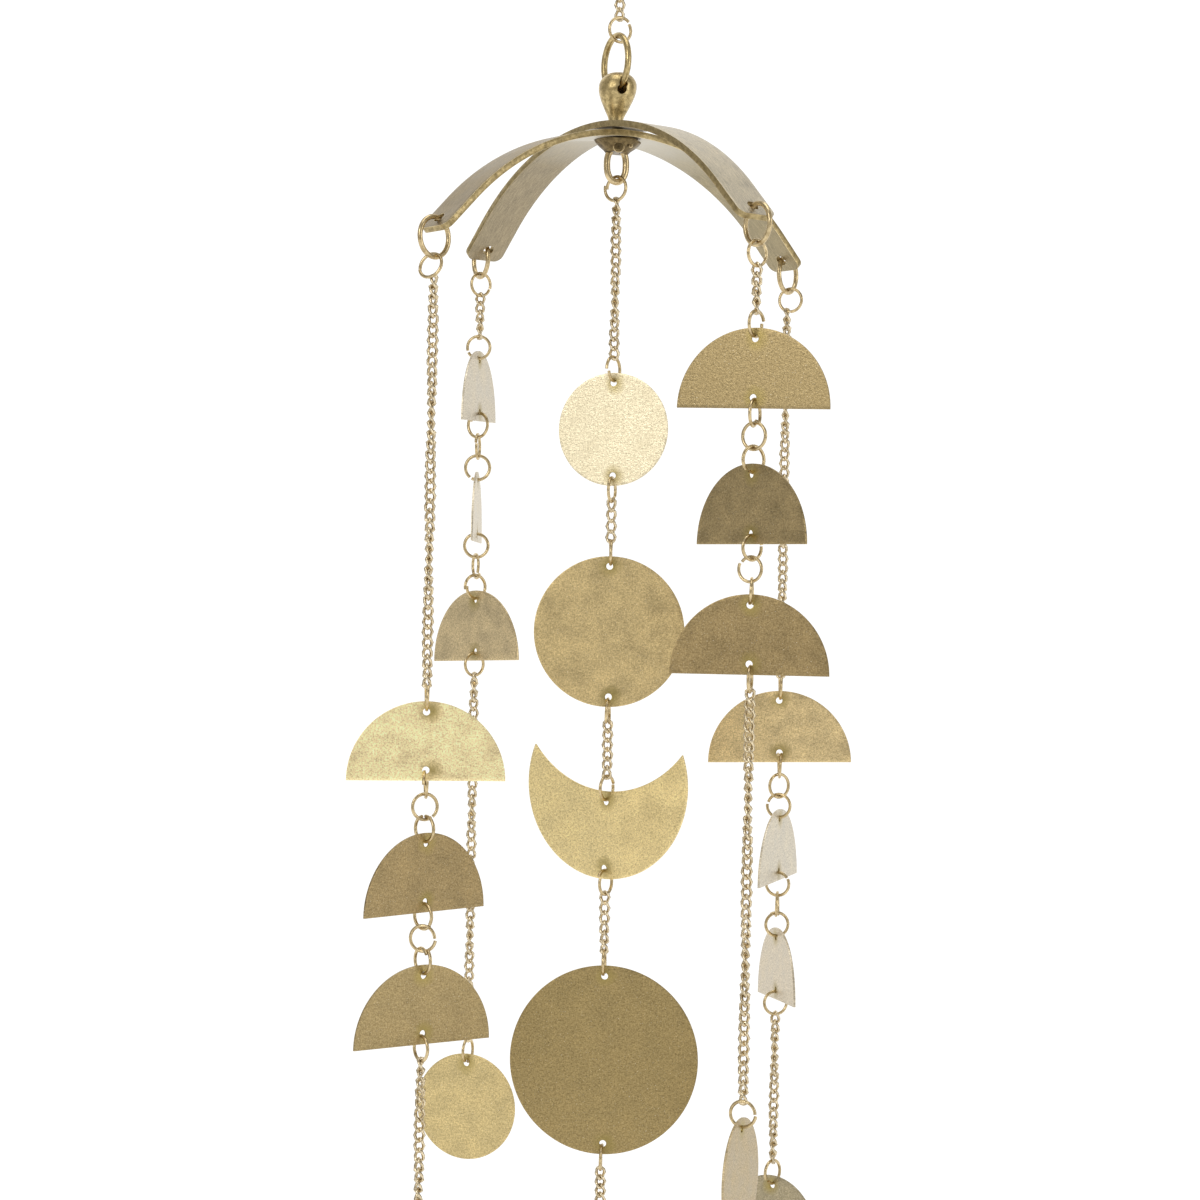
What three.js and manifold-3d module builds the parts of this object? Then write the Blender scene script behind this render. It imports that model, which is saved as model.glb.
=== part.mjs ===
// A hanging mobile of thin brass plates: four strands hang from two crossed arched bars, and a
// fifth hangs from the hub. Millimetres, +Z up, +X right, +Y away from the viewer.
// The origin is the inside top of the hanging ring, where a hook would bear.
import * as THREE from 'three';
import { mergeVertices } from 'three/addons/utils/BufferGeometryUtils.js';
import Module from 'manifold-3d';

const wasm = await Module();
wasm.setup();

// Wire and ring sizes
const JUMP = { radius: 4.1, wire: 1.1 };
const HANGER = { radius: 6.45, wire: 1.7 };
const HEAVY = { radius: 9.1, wire: 2.2 };
const HOOK_RING = { radius: 7.2, wire: 1.6 };
const CAP_LINK = { radius: 3.45, wire: 2.1, stretch: 2.35 };
const GAP = 0.3;
const HOLE_PLAY = 0.45;

// Curb chain
const LINK = { pitch: 3.12, width: 3.7, thickness: 2.1, wire: 0.95 };

// Plates, all cut from one thin sheet
const SHEET = 0.7;
const HOLE_R = 1.15;
const HALF_MOON_R = 25.4;
const SMALL_R = 19.05;
const MEDIUM_R = 25.4;
const LARGE_R = 31.75;
const CRESCENT_INNER_R = 37.75;
const CRESCENT_LIFT = 35.6;
const INSET = 3.4;
const LARGE_INSET = 3.6;

// Arched bars: one circle bent through a given angle each way, with straight ends beyond it.
// Each end's hole lies this far out from the bar's middle, and a little to one side.
const BAR = { width: 15, thickness: 2.1, radius: 93.7, holeR: 2, endPast: 4.7, cornerR: 3 };
const LOWER_BAR = {
  turn: 38.8, crown: -68.6, bend: 45.3, offCentre: 2.7,
  nearEnd: { side: -1, out: 74.35, across: 0.6 }, farEnd: { side: 1, out: 73.05, across: -0.6 },
};
const UPPER_BAR = {
  turn: 127, crown: -65.45, bend: 44.2, offCentre: 3.9,
  nearEnd: { side: -1, out: 74.1, across: -0.1 }, farEnd: { side: 1, out: 72.7, across: -0.1 },
};
const STEM_R = 1.9;
const STEM_HOLE_R = 2.3;

// Heights below the origin
const HEAVY_RING_X = -0.9;
const HEAVY_RING_Z = -44.0;
const FINIAL_HOLE_Z = -53.3;
const CAP_TOP_Z = -70.95;
const CAP_TILT = 3;
const CAP_LINK_Z = -78.4;
const CAP_LINK_YAW = 20;
const SMALL_DISC_TOP = -148.4;
const MEDIUM_DISC_TOP = -210.2;
const CRESCENT_CENTRE = -287.2;
const LARGE_DISC_TOP = -348.1;
const LOW_DISC_TOP = -445.0;

// Strands: the bar end each hangs from, its hanger ring, then how its plates and chains are turned
const STRANDS = [
  {
    name: 'front_left', bar: LOWER_BAR, end: LOWER_BAR.nearEnd, hangerYaw: 49, hangerDrop: 5.75, firstYaw: 149,
    tops: [-258.2, -300.2, -342.3], discTop: -428.8, yaws: [4, 44, 34.5], discYaw: 20,
    upper: { flatZ: -144.3, halfTurn: 46.4 }, lower: { flatZ: -397.1, halfTurn: 47 },
  },
  {
    name: 'back_right', bar: LOWER_BAR, end: LOWER_BAR.farEnd, hangerYaw: 58, hangerDrop: 5.1, firstYaw: 154,
    tops: [-256.3, -298.4, -340.6], discTop: -428.8, yaws: [-4, 71, 100.7], discYaw: 140,
    upper: { flatZ: -174.3, halfTurn: 35.5 }, lower: { flatZ: -401.2, halfTurn: 34.7 },
  },
  {
    name: 'back_left', bar: UPPER_BAR, end: UPPER_BAR.farEnd, hangerYaw: 116, hangerDrop: 3.2, firstYaw: 206,
    tops: [-135.6, -179.3, -222.3], discTop: -389.8, yaws: [79, 89, 129], discYaw: -20,
    upper: { flatZ: -117.1, halfTurn: 24 }, lower: { flatZ: -313.7, halfTurn: 22.7 },
  },
  {
    name: 'front_right', bar: UPPER_BAR, end: UPPER_BAR.nearEnd, hangerYaw: 123, hangerDrop: 5.4, firstYaw: 213,
    tops: [-138.6, -181.3, -222.4], discTop: -387.2, yaws: [-22, -51, -12], discYaw: 70,
    upper: { flatZ: -119.6, halfTurn: 22 }, lower: { flatZ: -311.8, halfTurn: 50.4 },
  },
];

const RAD = Math.PI / 180;

// Materials
const finish = (color, roughness) => new THREE.MeshStandardMaterial({ color, roughness, metalness: 1 });
const plateBrass = () => finish(0xb8a064, 0.45);
const wireBrass = () => finish(0xd2b878, 0.35);
const barBrass = () => finish(0xa39264, 0.5);
const castBrass = () => finish(0xa08a50, 0.5);

// Booleans
function toSolid(geometry, matrix) {
  const bare = geometry.index ? geometry.toNonIndexed() : geometry.clone();
  for (const name of Object.keys(bare.attributes)) {
    if (name !== 'position') bare.deleteAttribute(name);
  }
  if (matrix) bare.applyMatrix4(matrix);
  const merged = mergeVertices(bare, 1e-4);
  const mesh = new wasm.Mesh({
    numProp: 3,
    vertProperties: merged.attributes.position.array,
    triVerts: Uint32Array.from(merged.index.array),
  });
  return new wasm.Manifold(mesh);
}

function toGeometry(solid) {
  const mesh = solid.getMesh();
  const geometry = new THREE.BufferGeometry();
  geometry.setAttribute('position', new THREE.BufferAttribute(mesh.vertProperties, 3));
  geometry.setIndex(new THREE.BufferAttribute(mesh.triVerts, 1));
  return geometry;
}

function placed(x, y, z, turn = 0) {
  const matrix = new THREE.Matrix4().makeRotationZ(turn * RAD);
  return matrix.setPosition(x, y, z);
}

// A wire ring in the XZ plane; a stretch turns it into an oval with straight sides
function ringGeometry(size, segments, sides, stretch = 0) {
  const reach = (size.wire / 2) / Math.sqrt(Math.cos(Math.PI / sides));
  const profile = [];
  for (let i = 0; i <= sides; i += 1) {
    const angle = (i * 2 * Math.PI) / sides;
    profile.push(new THREE.Vector2(size.radius + reach * Math.cos(angle), reach * Math.sin(angle)));
  }
  const phase = stretch > 0 ? Math.PI / segments : 0;
  const ring = new THREE.LatheGeometry(profile, segments, phase);
  if (stretch > 0) {
    const position = ring.attributes.position;
    for (let i = 0; i < position.count; i += 1) {
      const z = position.getZ(i);
      position.setZ(i, z + Math.sign(z) * stretch);
    }
  }
  return ring;
}

function jumpRing(x, y, z, yaw, radius = JUMP.radius) {
  return toSolid(ringGeometry({ radius, wire: JUMP.wire }, 8, 4), placed(x, y, z, yaw));
}

// A curb chain as one band that narrows at its two ends and turns slowly as it hangs
function chainSolid(x, y, topZ, bottomZ, turn) {
  const links = Math.max(1, Math.round((topZ - bottomZ - 2 * LINK.wire) / LINK.pitch));
  const pitch = (topZ - bottomZ - 2 * LINK.wire) / links;
  const sections = [[topZ, 0.6]];
  for (let i = 0; i < links; i += 1) {
    sections.push([topZ - LINK.wire - (i + 0.5) * pitch, 1]);
  }
  sections.push([bottomZ, 0.6]);
  const points = [];
  for (const [z, share] of sections) {
    const yaw = (Math.PI * (z - turn.flatZ)) / turn.halfTurn;
    for (let corner = 0; corner < 4; corner += 1) {
      const half = (share * (corner % 2 === 0 ? LINK.width : LINK.thickness)) / 2;
      const angle = yaw + (corner * Math.PI) / 2;
      points.push(x + half * Math.cos(angle), y + half * Math.sin(angle), z);
    }
  }
  const faces = [0, 1, 2, 0, 2, 3];
  for (let s = 0; s < sections.length - 1; s += 1) {
    for (let corner = 0; corner < 4; corner += 1) {
      const a = s * 4 + corner;
      const b = s * 4 + ((corner + 1) % 4);
      faces.push(a, a + 4, b, b, a + 4, b + 4);
    }
  }
  const last = (sections.length - 1) * 4;
  faces.push(last, last + 2, last + 1, last, last + 3, last + 2);
  const geometry = new THREE.BufferGeometry();
  geometry.setAttribute('position', new THREE.Float32BufferAttribute(points, 3));
  geometry.setIndex(faces);
  return toSolid(geometry);
}

// A chain with the jump ring at each end; the heights are those of the two rings' centres
function chainWithRings(x, y, upperRing, lowerRing, turn) {
  const hold = JUMP.wire / 2 + LINK.wire;
  const topZ = upperRing.z - JUMP.radius + hold;
  const bottomZ = lowerRing.z + JUMP.radius - hold;
  return chainSolid(x, y, topZ, bottomZ, turn)
    .add(jumpRing(x + (upperRing.shift ?? 0), y, upperRing.z, upperRing.yaw))
    .add(jumpRing(x + (lowerRing.shift ?? 0), y, lowerRing.z, lowerRing.yaw));
}

// Plates stand in the XZ plane, with their holes drilled straight through
function circlePath(x, z, radius, count) {
  const points = [];
  for (let i = 0; i < count; i += 1) {
    const angle = (i * 2 * Math.PI) / count;
    points.push(new THREE.Vector2(x + radius * Math.cos(angle), z + radius * Math.sin(angle)));
  }
  return points;
}

function arcPoints(centreZ, radius, from, to, count) {
  const points = [];
  for (let i = 0; i <= count; i += 1) {
    const angle = from + ((to - from) * i) / count;
    points.push(new THREE.Vector2(radius * Math.cos(angle), centreZ + radius * Math.sin(angle)));
  }
  return points;
}

function plateGeometry(outline, holeHeights) {
  const shape = new THREE.Shape(outline);
  const sides = 8;
  for (const z of holeHeights) {
    shape.holes.push(new THREE.Path(circlePath(0, z, HOLE_R / Math.cos(Math.PI / sides), sides)));
  }
  const plate = new THREE.ExtrudeGeometry(shape, { depth: SHEET, bevelEnabled: false });
  plate.rotateX(Math.PI / 2);
  plate.translate(0, SHEET / 2, 0);
  return plate;
}

// Each plate's own zero height is its top
function discGeometry(radius, inset, bothHoles) {
  const holes = bothHoles ? [-inset, inset - 2 * radius] : [-inset];
  return plateGeometry(circlePath(0, -radius, radius, 24), holes);
}

function halfMoonGeometry() {
  const outline = arcPoints(-HALF_MOON_R, HALF_MOON_R, 0, Math.PI, 14);
  return plateGeometry(outline, [-INSET, INSET - HALF_MOON_R]);
}

// The crescent's own zero height is the centre of its outer circle
function crescentGeometry() {
  const tipZ = (LARGE_R ** 2 - CRESCENT_INNER_R ** 2 + CRESCENT_LIFT ** 2) / (2 * CRESCENT_LIFT);
  const outerTip = Math.asin(tipZ / LARGE_R);
  const innerTip = Math.asin((tipZ - CRESCENT_LIFT) / CRESCENT_INNER_R);
  const outer = arcPoints(0, LARGE_R, -Math.PI - outerTip, outerTip, 20);
  const inner = arcPoints(CRESCENT_LIFT, CRESCENT_INNER_R, innerTip, -Math.PI - innerTip, 10);
  const topHole = CRESCENT_LIFT - CRESCENT_INNER_R - LARGE_INSET;
  return plateGeometry([...outer, ...inner.slice(1, -1)], [topHole, LARGE_INSET - LARGE_R]);
}

// Arched bars: "along" is measured on the bend from its crown
function archPoint(bar, along, level) {
  const limit = bar.bend * RAD;
  const angle = Math.min(limit, Math.max(-limit, along / BAR.radius));
  const straight = along - angle * BAR.radius;
  const x = (BAR.radius + level) * Math.sin(angle) + straight * Math.cos(angle);
  const height = BAR.radius * (Math.cos(angle) - 1) + level * Math.cos(angle) - straight * Math.sin(angle);
  return new THREE.Vector2(x, height);
}

function alongFor(bar, out) {
  const limit = bar.bend * RAD;
  return BAR.radius * limit + (out - BAR.radius * Math.sin(limit)) / Math.cos(limit);
}

function barSolid(bar) {
  const from = -alongFor(bar, bar.nearEnd.out) - BAR.endPast;
  const to = alongFor(bar, bar.farEnd.out) + BAR.endPast;
  const steps = 24;
  const upper = [];
  const under = [];
  for (let i = 0; i <= steps; i += 1) {
    const along = from + ((to - from) * i) / steps;
    upper.push(archPoint(bar, along, BAR.thickness / 2));
    under.push(archPoint(bar, along, -BAR.thickness / 2));
  }
  const side = new THREE.Shape([...under, ...upper.reverse()]);
  const band = new THREE.ExtrudeGeometry(side, { depth: BAR.width, bevelEnabled: false });
  band.rotateX(Math.PI / 2);
  band.translate(0, BAR.width / 2, 0);
  let solid = toSolid(band);

  const tipFrom = archPoint(bar, from, BAR.thickness / 2).x - 0.01;
  const tipTo = archPoint(bar, to, BAR.thickness / 2).x + 0.01;
  const shortR = BAR.cornerR * Math.cos(bar.bend * RAD);
  const half = BAR.width / 2 + 0.01;
  const outline = [];
  for (const [sx, sy, start] of [[1, 1, 0], [-1, 1, 90], [-1, -1, 180], [1, -1, 270]]) {
    for (let i = 0; i <= 3; i += 1) {
      const angle = (start + 30 * i) * RAD;
      const cx = sx > 0 ? tipTo - shortR : tipFrom + shortR;
      const cy = sy * (half - BAR.cornerR);
      outline.push(new THREE.Vector2(cx + shortR * Math.cos(angle), cy + BAR.cornerR * Math.sin(angle)));
    }
  }
  const rounding = new THREE.ExtrudeGeometry(new THREE.Shape(outline), { depth: 80, bevelEnabled: false });
  rounding.translate(0, 0, -60);
  solid = solid.intersect(toSolid(rounding));

  for (const end of [bar.nearEnd, bar.farEnd]) {
    const drill = new THREE.CylinderGeometry(BAR.holeR, BAR.holeR, 8, 10);
    drill.rotateX(Math.PI / 2);
    drill.rotateY(end.side * bar.bend * RAD);
    const at = archPoint(bar, end.side * alongFor(bar, end.out), 0);
    drill.translate(at.x, end.across, at.y);
    solid = solid.subtract(toSolid(drill));
  }
  const hub = new THREE.CylinderGeometry(STEM_HOLE_R, STEM_HOLE_R, 8, 12);
  hub.rotateX(Math.PI / 2);
  hub.translate(-bar.offCentre, 0, 0);
  solid = solid.subtract(toSolid(hub));

  const turned = placed(0, 0, bar.crown, bar.turn).multiply(placed(bar.offCentre, 0, 0));
  return toSolid(toGeometry(solid), turned);
}

// The middle of the hole in one end of a bar
function barHole(bar, end) {
  const at = archPoint(bar, end.side * alongFor(bar, end.out), 0);
  const hole = new THREE.Vector3(at.x + bar.offCentre, end.across, bar.crown + at.y);
  return hole.applyAxisAngle(new THREE.Vector3(0, 0, 1), bar.turn * RAD);
}

function latheSolid(profile, segments) {
  const points = profile.map(([radius, z]) => new THREE.Vector2(radius, z));
  const lathe = new THREE.LatheGeometry(points, segments);
  lathe.rotateX(Math.PI / 2);
  return toSolid(lathe);
}

// Pear-shaped finial with a cross hole; its stem passes down through both bars
const FINIAL_YAW = -64;

function finialSolid() {
  const base = UPPER_BAR.crown + BAR.thickness / 2 + GAP;
  const body = latheSolid([
    [0, CAP_TOP_Z], [STEM_R, CAP_TOP_Z], [STEM_R, base], [2.3, base], [2.4, base + 1.8],
    [3.4, base + 3.7], [4.7, base + 5.1], [5.4, base + 6.6], [6.1, base + 8.7], [6.5, base + 10.8],
    [6.4, base + 12.6], [5.5, base + 14.7], [3.6, base + 16.2], [0, base + 16.9],
  ], 14);
  const hole = new THREE.CylinderGeometry(2.3, 2.3, 20, 12);
  hole.rotateZ(Math.PI / 2);
  const fat = { radius: HEAVY.radius, wire: HEAVY.wire + 2 * GAP + 0.1 };
  return body
    .subtract(toSolid(hole, placed(HEAVY_RING_X, 0, FINIAL_HOLE_Z, FINIAL_YAW)))
    .subtract(toSolid(ringGeometry(fat, 20, 6), placed(HEAVY_RING_X, 0, HEAVY_RING_Z, FINIAL_YAW)));
}

// Flared cap under the bars, pierced for its link, with a round recess in front; it sits a little askew
function capSolid() {
  const body = latheSolid([
    [0, -4], [4, -4], [4.4, -2.6], [5.2, -1.7], [7.3, -0.9], [7.95, -0.5], [7.95, 0], [0, 0],
  ], 18);
  const bore = new THREE.CylinderGeometry(STEM_HOLE_R, STEM_HOLE_R, 0.7, 10);
  bore.rotateX(Math.PI / 2);
  const recess = new THREE.CylinderGeometry(1.2, 1.2, 3, 10);
  const fat = { radius: CAP_LINK.radius, wire: CAP_LINK.wire + 2 * GAP + 0.1 };
  const tunnel = ringGeometry(fat, 12, 6, CAP_LINK.stretch);
  const askew = placed(0, 0, CAP_TOP_Z).multiply(new THREE.Matrix4().makeRotationY(CAP_TILT * RAD));
  const shaped = body.subtract(toSolid(bore)).subtract(toSolid(recess, placed(1, -5.2, -2.6)));
  return toSolid(toGeometry(shaped), askew)
    .subtract(toSolid(tunnel, placed(0, 0, CAP_LINK_Z, CAP_LINK_YAW)));
}

const mobile = new THREE.Group();

function addPiece(name, shape, material, matrix) {
  const geometry = shape.isBufferGeometry ? shape : toGeometry(shape);
  geometry.computeVertexNormals();
  const mesh = new THREE.Mesh(geometry, material);
  mesh.name = name;
  if (matrix) mesh.applyMatrix4(matrix);
  mobile.add(mesh);
}

// Suspension and hub
const topRingZ = HEAVY_RING_Z + HEAVY.radius - (HEAVY.wire + JUMP.wire) / 2 - 2 * GAP + JUMP.radius;
const hookRingZ = HOOK_RING.wire / 2 - HOOK_RING.radius;
const underHookZ = hookRingZ - HOOK_RING.radius + (HOOK_RING.wire + JUMP.wire) / 2 + GAP - JUMP.radius;
addPiece('hanging_ring', ringGeometry(HOOK_RING, 14, 6), wireBrass(), placed(0, 0, hookRingZ));
const topChain = chainWithRings(0, 0, { z: underHookZ, yaw: 90 }, { z: topRingZ, yaw: 26, shift: 0.3 },
  { flatZ: -24, halfTurn: 24 });
addPiece('suspension_chain', topChain, wireBrass());

addPiece('heavy_ring', ringGeometry(HEAVY, 16, 6), castBrass(), placed(HEAVY_RING_X, 0, HEAVY_RING_Z, FINIAL_YAW));
addPiece('finial', finialSolid(), castBrass());
addPiece('upper_bar', barSolid(UPPER_BAR), barBrass());
addPiece('lower_bar', barSolid(LOWER_BAR), barBrass());
addPiece('bottom_cap', capSolid(), castBrass());
const capLink = ringGeometry(CAP_LINK, 12, 6, CAP_LINK.stretch);
addPiece('cap_link', capLink, wireBrass(), placed(0, 0, CAP_LINK_Z, CAP_LINK_YAW));

// A ring through a hole, in the plane across the plate: above it, or below it
const ringAbove = (holeZ, plateYaw) => ({ z: holeZ + HOLE_PLAY + JUMP.radius, yaw: plateYaw + 90 });
const ringBelow = (holeZ, plateYaw) => ({ z: holeZ - HOLE_PLAY - JUMP.radius, yaw: plateYaw + 90 });

// Centre strand
const capLinkLow = CAP_LINK_Z - CAP_LINK.stretch - CAP_LINK.radius;
const underCap = { z: capLinkLow + (CAP_LINK.wire + JUMP.wire) / 2 + GAP - JUMP.radius, yaw: -36, shift: -0.2 };
const crescentTopHole = CRESCENT_CENTRE + CRESCENT_LIFT - CRESCENT_INNER_R - LARGE_INSET;
const centreJoints = [
  [underCap, ringAbove(SMALL_DISC_TOP - INSET, -16), { flatZ: -107.7, halfTurn: 33 }],
  [ringBelow(SMALL_DISC_TOP - 2 * SMALL_R + INSET, -16), ringAbove(MEDIUM_DISC_TOP - INSET, -3),
    { flatZ: -201.4, halfTurn: 43 }],
  [ringBelow(MEDIUM_DISC_TOP - 2 * MEDIUM_R + INSET, -3), ringAbove(crescentTopHole, -33),
    { flatZ: -273.8, halfTurn: 45 }],
  [ringBelow(CRESCENT_CENTRE - LARGE_R + LARGE_INSET, -33), ringAbove(LARGE_DISC_TOP - LARGE_INSET, -4),
    { flatZ: -327.7, halfTurn: 40 }],
  [ringBelow(LARGE_DISC_TOP - 2 * LARGE_R + LARGE_INSET, -4), ringAbove(LOW_DISC_TOP - INSET, 25),
    { flatZ: -422, halfTurn: 45 }],
];
centreJoints.forEach(([above, below, turn], index) => {
  addPiece(`centre_chain_${index + 1}`, chainWithRings(0, 0, above, below, turn), wireBrass());
});
const smallDisc = discGeometry(SMALL_R, INSET, true);
const mediumDisc = discGeometry(MEDIUM_R, INSET, true);
const largeDisc = discGeometry(LARGE_R, LARGE_INSET, true);
addPiece('centre_small_disc', smallDisc, plateBrass(), placed(0, 0, SMALL_DISC_TOP, -16));
addPiece('centre_medium_disc', mediumDisc, plateBrass(), placed(-0.3, 0, MEDIUM_DISC_TOP, -3));
addPiece('centre_crescent', crescentGeometry(), plateBrass(), placed(0, 0, CRESCENT_CENTRE, -33));
addPiece('centre_large_disc', largeDisc, plateBrass(), placed(0.3, 0, LARGE_DISC_TOP, -4));
const endDisc = discGeometry(SMALL_R, INSET, false);
addPiece('centre_low_disc', endDisc, plateBrass(), placed(0, 0, LOW_DISC_TOP, 25));

// Three linked jump rings between two half-moons, the middle one across the other two; the wider
// the plates hang apart, the larger the rings
function ringSetSolid(x, y, upperHole, lowerHole, upperYaw, lowerYaw) {
  const radius = (upperHole - lowerHole + 2 * (JUMP.wire - HOLE_PLAY)) / 6;
  const topZ = upperHole - HOLE_PLAY - radius;
  const bottomZ = lowerHole + HOLE_PLAY + radius;
  return jumpRing(x, y, topZ, upperYaw + 90, radius)
    .add(jumpRing(x, y, (topZ + bottomZ) / 2, (upperYaw + lowerYaw) / 2, radius))
    .add(jumpRing(x, y, bottomZ, lowerYaw + 90, radius));
}

// The four outer strands
for (const strand of STRANDS) {
  const { name, bar, end, tops, yaws } = strand;
  const hole = barHole(bar, end);
  const reach = end.side * Math.sqrt(HANGER.radius ** 2 - strand.hangerDrop ** 2);
  const x = hole.x + reach * Math.cos(strand.hangerYaw * RAD);
  const y = hole.y + reach * Math.sin(strand.hangerYaw * RAD);
  const hangerZ = hole.z - strand.hangerDrop;
  const hangerAt = placed(x, y, hangerZ, strand.hangerYaw);
  addPiece(`${name}_hanger`, ringGeometry(HANGER, 12, 5), wireBrass(), hangerAt);

  const grip = (HANGER.wire + JUMP.wire) / 2 + GAP;
  const firstRing = { z: hangerZ - HANGER.radius + grip - JUMP.radius, yaw: strand.firstYaw };
  const highHole = (top) => top - INSET;
  const lowHole = (top) => top - HALF_MOON_R + INSET;
  const upperChain = chainWithRings(x, y, firstRing, ringAbove(highHole(tops[0]), yaws[0]), strand.upper);
  addPiece(`${name}_upper_chain`, upperChain, wireBrass());
  yaws.forEach((yaw, index) => {
    const at = placed(x, y, tops[index], yaw);
    addPiece(`${name}_half_moon_${index + 1}`, halfMoonGeometry(), plateBrass(), at);
    if (index < yaws.length - 1) {
      const below = tops[index + 1];
      const rings = ringSetSolid(x, y, lowHole(tops[index]), highHole(below), yaw, yaws[index + 1]);
      addPiece(`${name}_ring_set_${index + 1}`, rings, wireBrass());
    }
  });
  const lastRing = ringAbove(highHole(strand.discTop), strand.discYaw);
  const lowerChain = chainWithRings(x, y, ringBelow(lowHole(tops[2]), yaws[2]), lastRing, strand.lower);
  addPiece(`${name}_lower_chain`, lowerChain, wireBrass());
  const disc = discGeometry(SMALL_R, INSET, false);
  addPiece(`${name}_end_disc`, disc, plateBrass(), placed(x, y, strand.discTop, strand.discYaw));
}

export default mobile;
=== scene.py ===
import bpy
import math
import random
from mathutils import Matrix, Vector


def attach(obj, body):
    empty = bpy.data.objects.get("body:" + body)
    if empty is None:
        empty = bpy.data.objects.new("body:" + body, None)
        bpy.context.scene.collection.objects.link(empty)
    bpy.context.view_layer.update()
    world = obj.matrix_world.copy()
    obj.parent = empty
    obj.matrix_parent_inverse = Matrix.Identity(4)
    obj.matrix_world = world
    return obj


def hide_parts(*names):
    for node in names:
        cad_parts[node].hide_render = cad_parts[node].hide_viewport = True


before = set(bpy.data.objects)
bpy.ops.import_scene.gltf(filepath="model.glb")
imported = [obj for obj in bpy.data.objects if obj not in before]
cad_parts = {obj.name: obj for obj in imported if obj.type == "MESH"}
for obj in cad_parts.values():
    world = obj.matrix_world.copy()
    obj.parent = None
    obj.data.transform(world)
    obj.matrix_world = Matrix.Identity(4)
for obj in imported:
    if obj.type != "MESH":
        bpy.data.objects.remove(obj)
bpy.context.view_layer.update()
mm = 0.001
quarterTurn = math.pi / 2

# the camera, in millimetres and degrees
view = {"x": -3.35, "y": -885, "z": -225, "lens": 78.81, "roll": 0.95}


def addCamera():
    data = bpy.data.cameras.new("viewCamera")
    data.lens = view["lens"]
    data.sensor_width = 36
    data.clip_start = 0.05
    camera = bpy.data.objects.new("viewCamera", data)
    bpy.context.collection.objects.link(camera)
    turn = Matrix.Rotation(quarterTurn, 4, "X") @ Matrix.Rotation(math.radians(view["roll"]), 4, "Z")
    camera.matrix_world = Matrix.Translation(Vector((view["x"], view["y"], view["z"])) * mm) @ turn
    bpy.context.scene.camera = camera


studio = {
    "floorZ": -0.60,
    "world": 0.42,
    "backdropGlow": 0.93,
    "backdropWhite": 0.2,
    "floorWide": 6,
    "floorDeep": 3.5,
    "floorY": -0.25,
    "wallHigh": 3,
    "wallCurve": 0.5,
    "lampAim": (0, 0, -0.22),
    "lamps": [
        {"name": "keyBox", "at": (-1.0, -1.5, 0.5), "size": 0.9, "power": 9},
        {"name": "fillBox", "at": (1.5, -0.8, 0.1), "size": 0.9, "power": 5},
        {"name": "topBox", "at": (0.0, -0.2, 1.4), "size": 1.2, "power": 9},
    ],
}


def addLamps():
    for lamp in studio["lamps"]:
        data = bpy.data.lights.new(lamp["name"], "AREA")
        data.shape = "SQUARE"
        data.size = lamp["size"]
        data.energy = lamp["power"]
        box = bpy.data.objects.new(lamp["name"], data)
        bpy.context.collection.objects.link(box)
        at = Vector(lamp["at"])
        aim = Vector(studio["lampAim"])
        box.matrix_world = Matrix.Translation(at) @ (aim - at).to_track_quat("-Z", "Y").to_matrix().to_4x4()
    world = bpy.data.worlds.new("studioWorld")
    world.use_nodes = True
    background = world.node_tree.nodes["Background"]
    background.inputs["Color"].default_value = (1, 0.985, 0.96, 1)
    background.inputs["Strength"].default_value = studio["world"]
    bpy.context.scene.world = world
    bpy.context.scene.view_settings.view_transform = "Standard"


def addStage():
    # a sheet laid on the floor and curved up into a wall
    backEdge = studio["floorY"] + studio["floorDeep"] / 2
    bpy.ops.object.select_all(action="DESELECT")
    bpy.ops.mesh.primitive_plane_add(size=1, location=(0, studio["floorY"], studio["floorZ"]))
    sheet = bpy.context.object
    sheet.name = "stageSheet"
    sheet.scale = (studio["floorWide"], studio["floorDeep"], 1)
    settle(sheet)
    chooseEdges(sheet, lambda a, b: min(a.y, b.y) > backEdge - 0.1)
    bpy.ops.mesh.extrude_region_move(TRANSFORM_OT_translate={"value": (0, 0, studio["wallHigh"])})
    chooseEdges(sheet, lambda a, b: min(a.y, b.y) > backEdge - 0.1 and max(a.z, b.z) < studio["floorZ"] + 0.1)
    bpy.ops.mesh.bevel(offset=studio["wallCurve"], segments=16, profile=0.5, affect="EDGES")
    bpy.ops.object.mode_set(mode="OBJECT")
    bpy.ops.object.shade_smooth()
    paint = bpy.data.materials.new("paleStage")
    paint.use_nodes = True
    shader = paint.node_tree.nodes["Principled BSDF"]
    white = studio["backdropWhite"]
    shader.inputs["Base Color"].default_value = (white, white, white, 1)
    shader.inputs["Roughness"].default_value = 0.9
    shader.inputs["Specular IOR Level"].default_value = 0.1
    shader.inputs["Emission Color"].default_value = (1, 1, 1, 1)
    shader.inputs["Emission Strength"].default_value = studio["backdropGlow"]
    sheet.data.materials.append(paint)


def pickOnly(piece):
    if bpy.context.mode != "OBJECT":
        bpy.ops.object.mode_set(mode="OBJECT")
    bpy.ops.object.select_all(action="DESELECT")
    piece.select_set(True)
    bpy.context.view_layer.objects.active = piece


def settle(piece):
    pickOnly(piece)
    bpy.ops.object.transform_apply(location=True, rotation=True, scale=True)


def applyModifier(piece, kind, **settings):
    pickOnly(piece)
    modifier = piece.modifiers.new(kind.lower(), kind)
    for setting, value in settings.items():
        setattr(modifier, setting, value)
    bpy.ops.object.modifier_apply(modifier=modifier.name)


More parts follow.
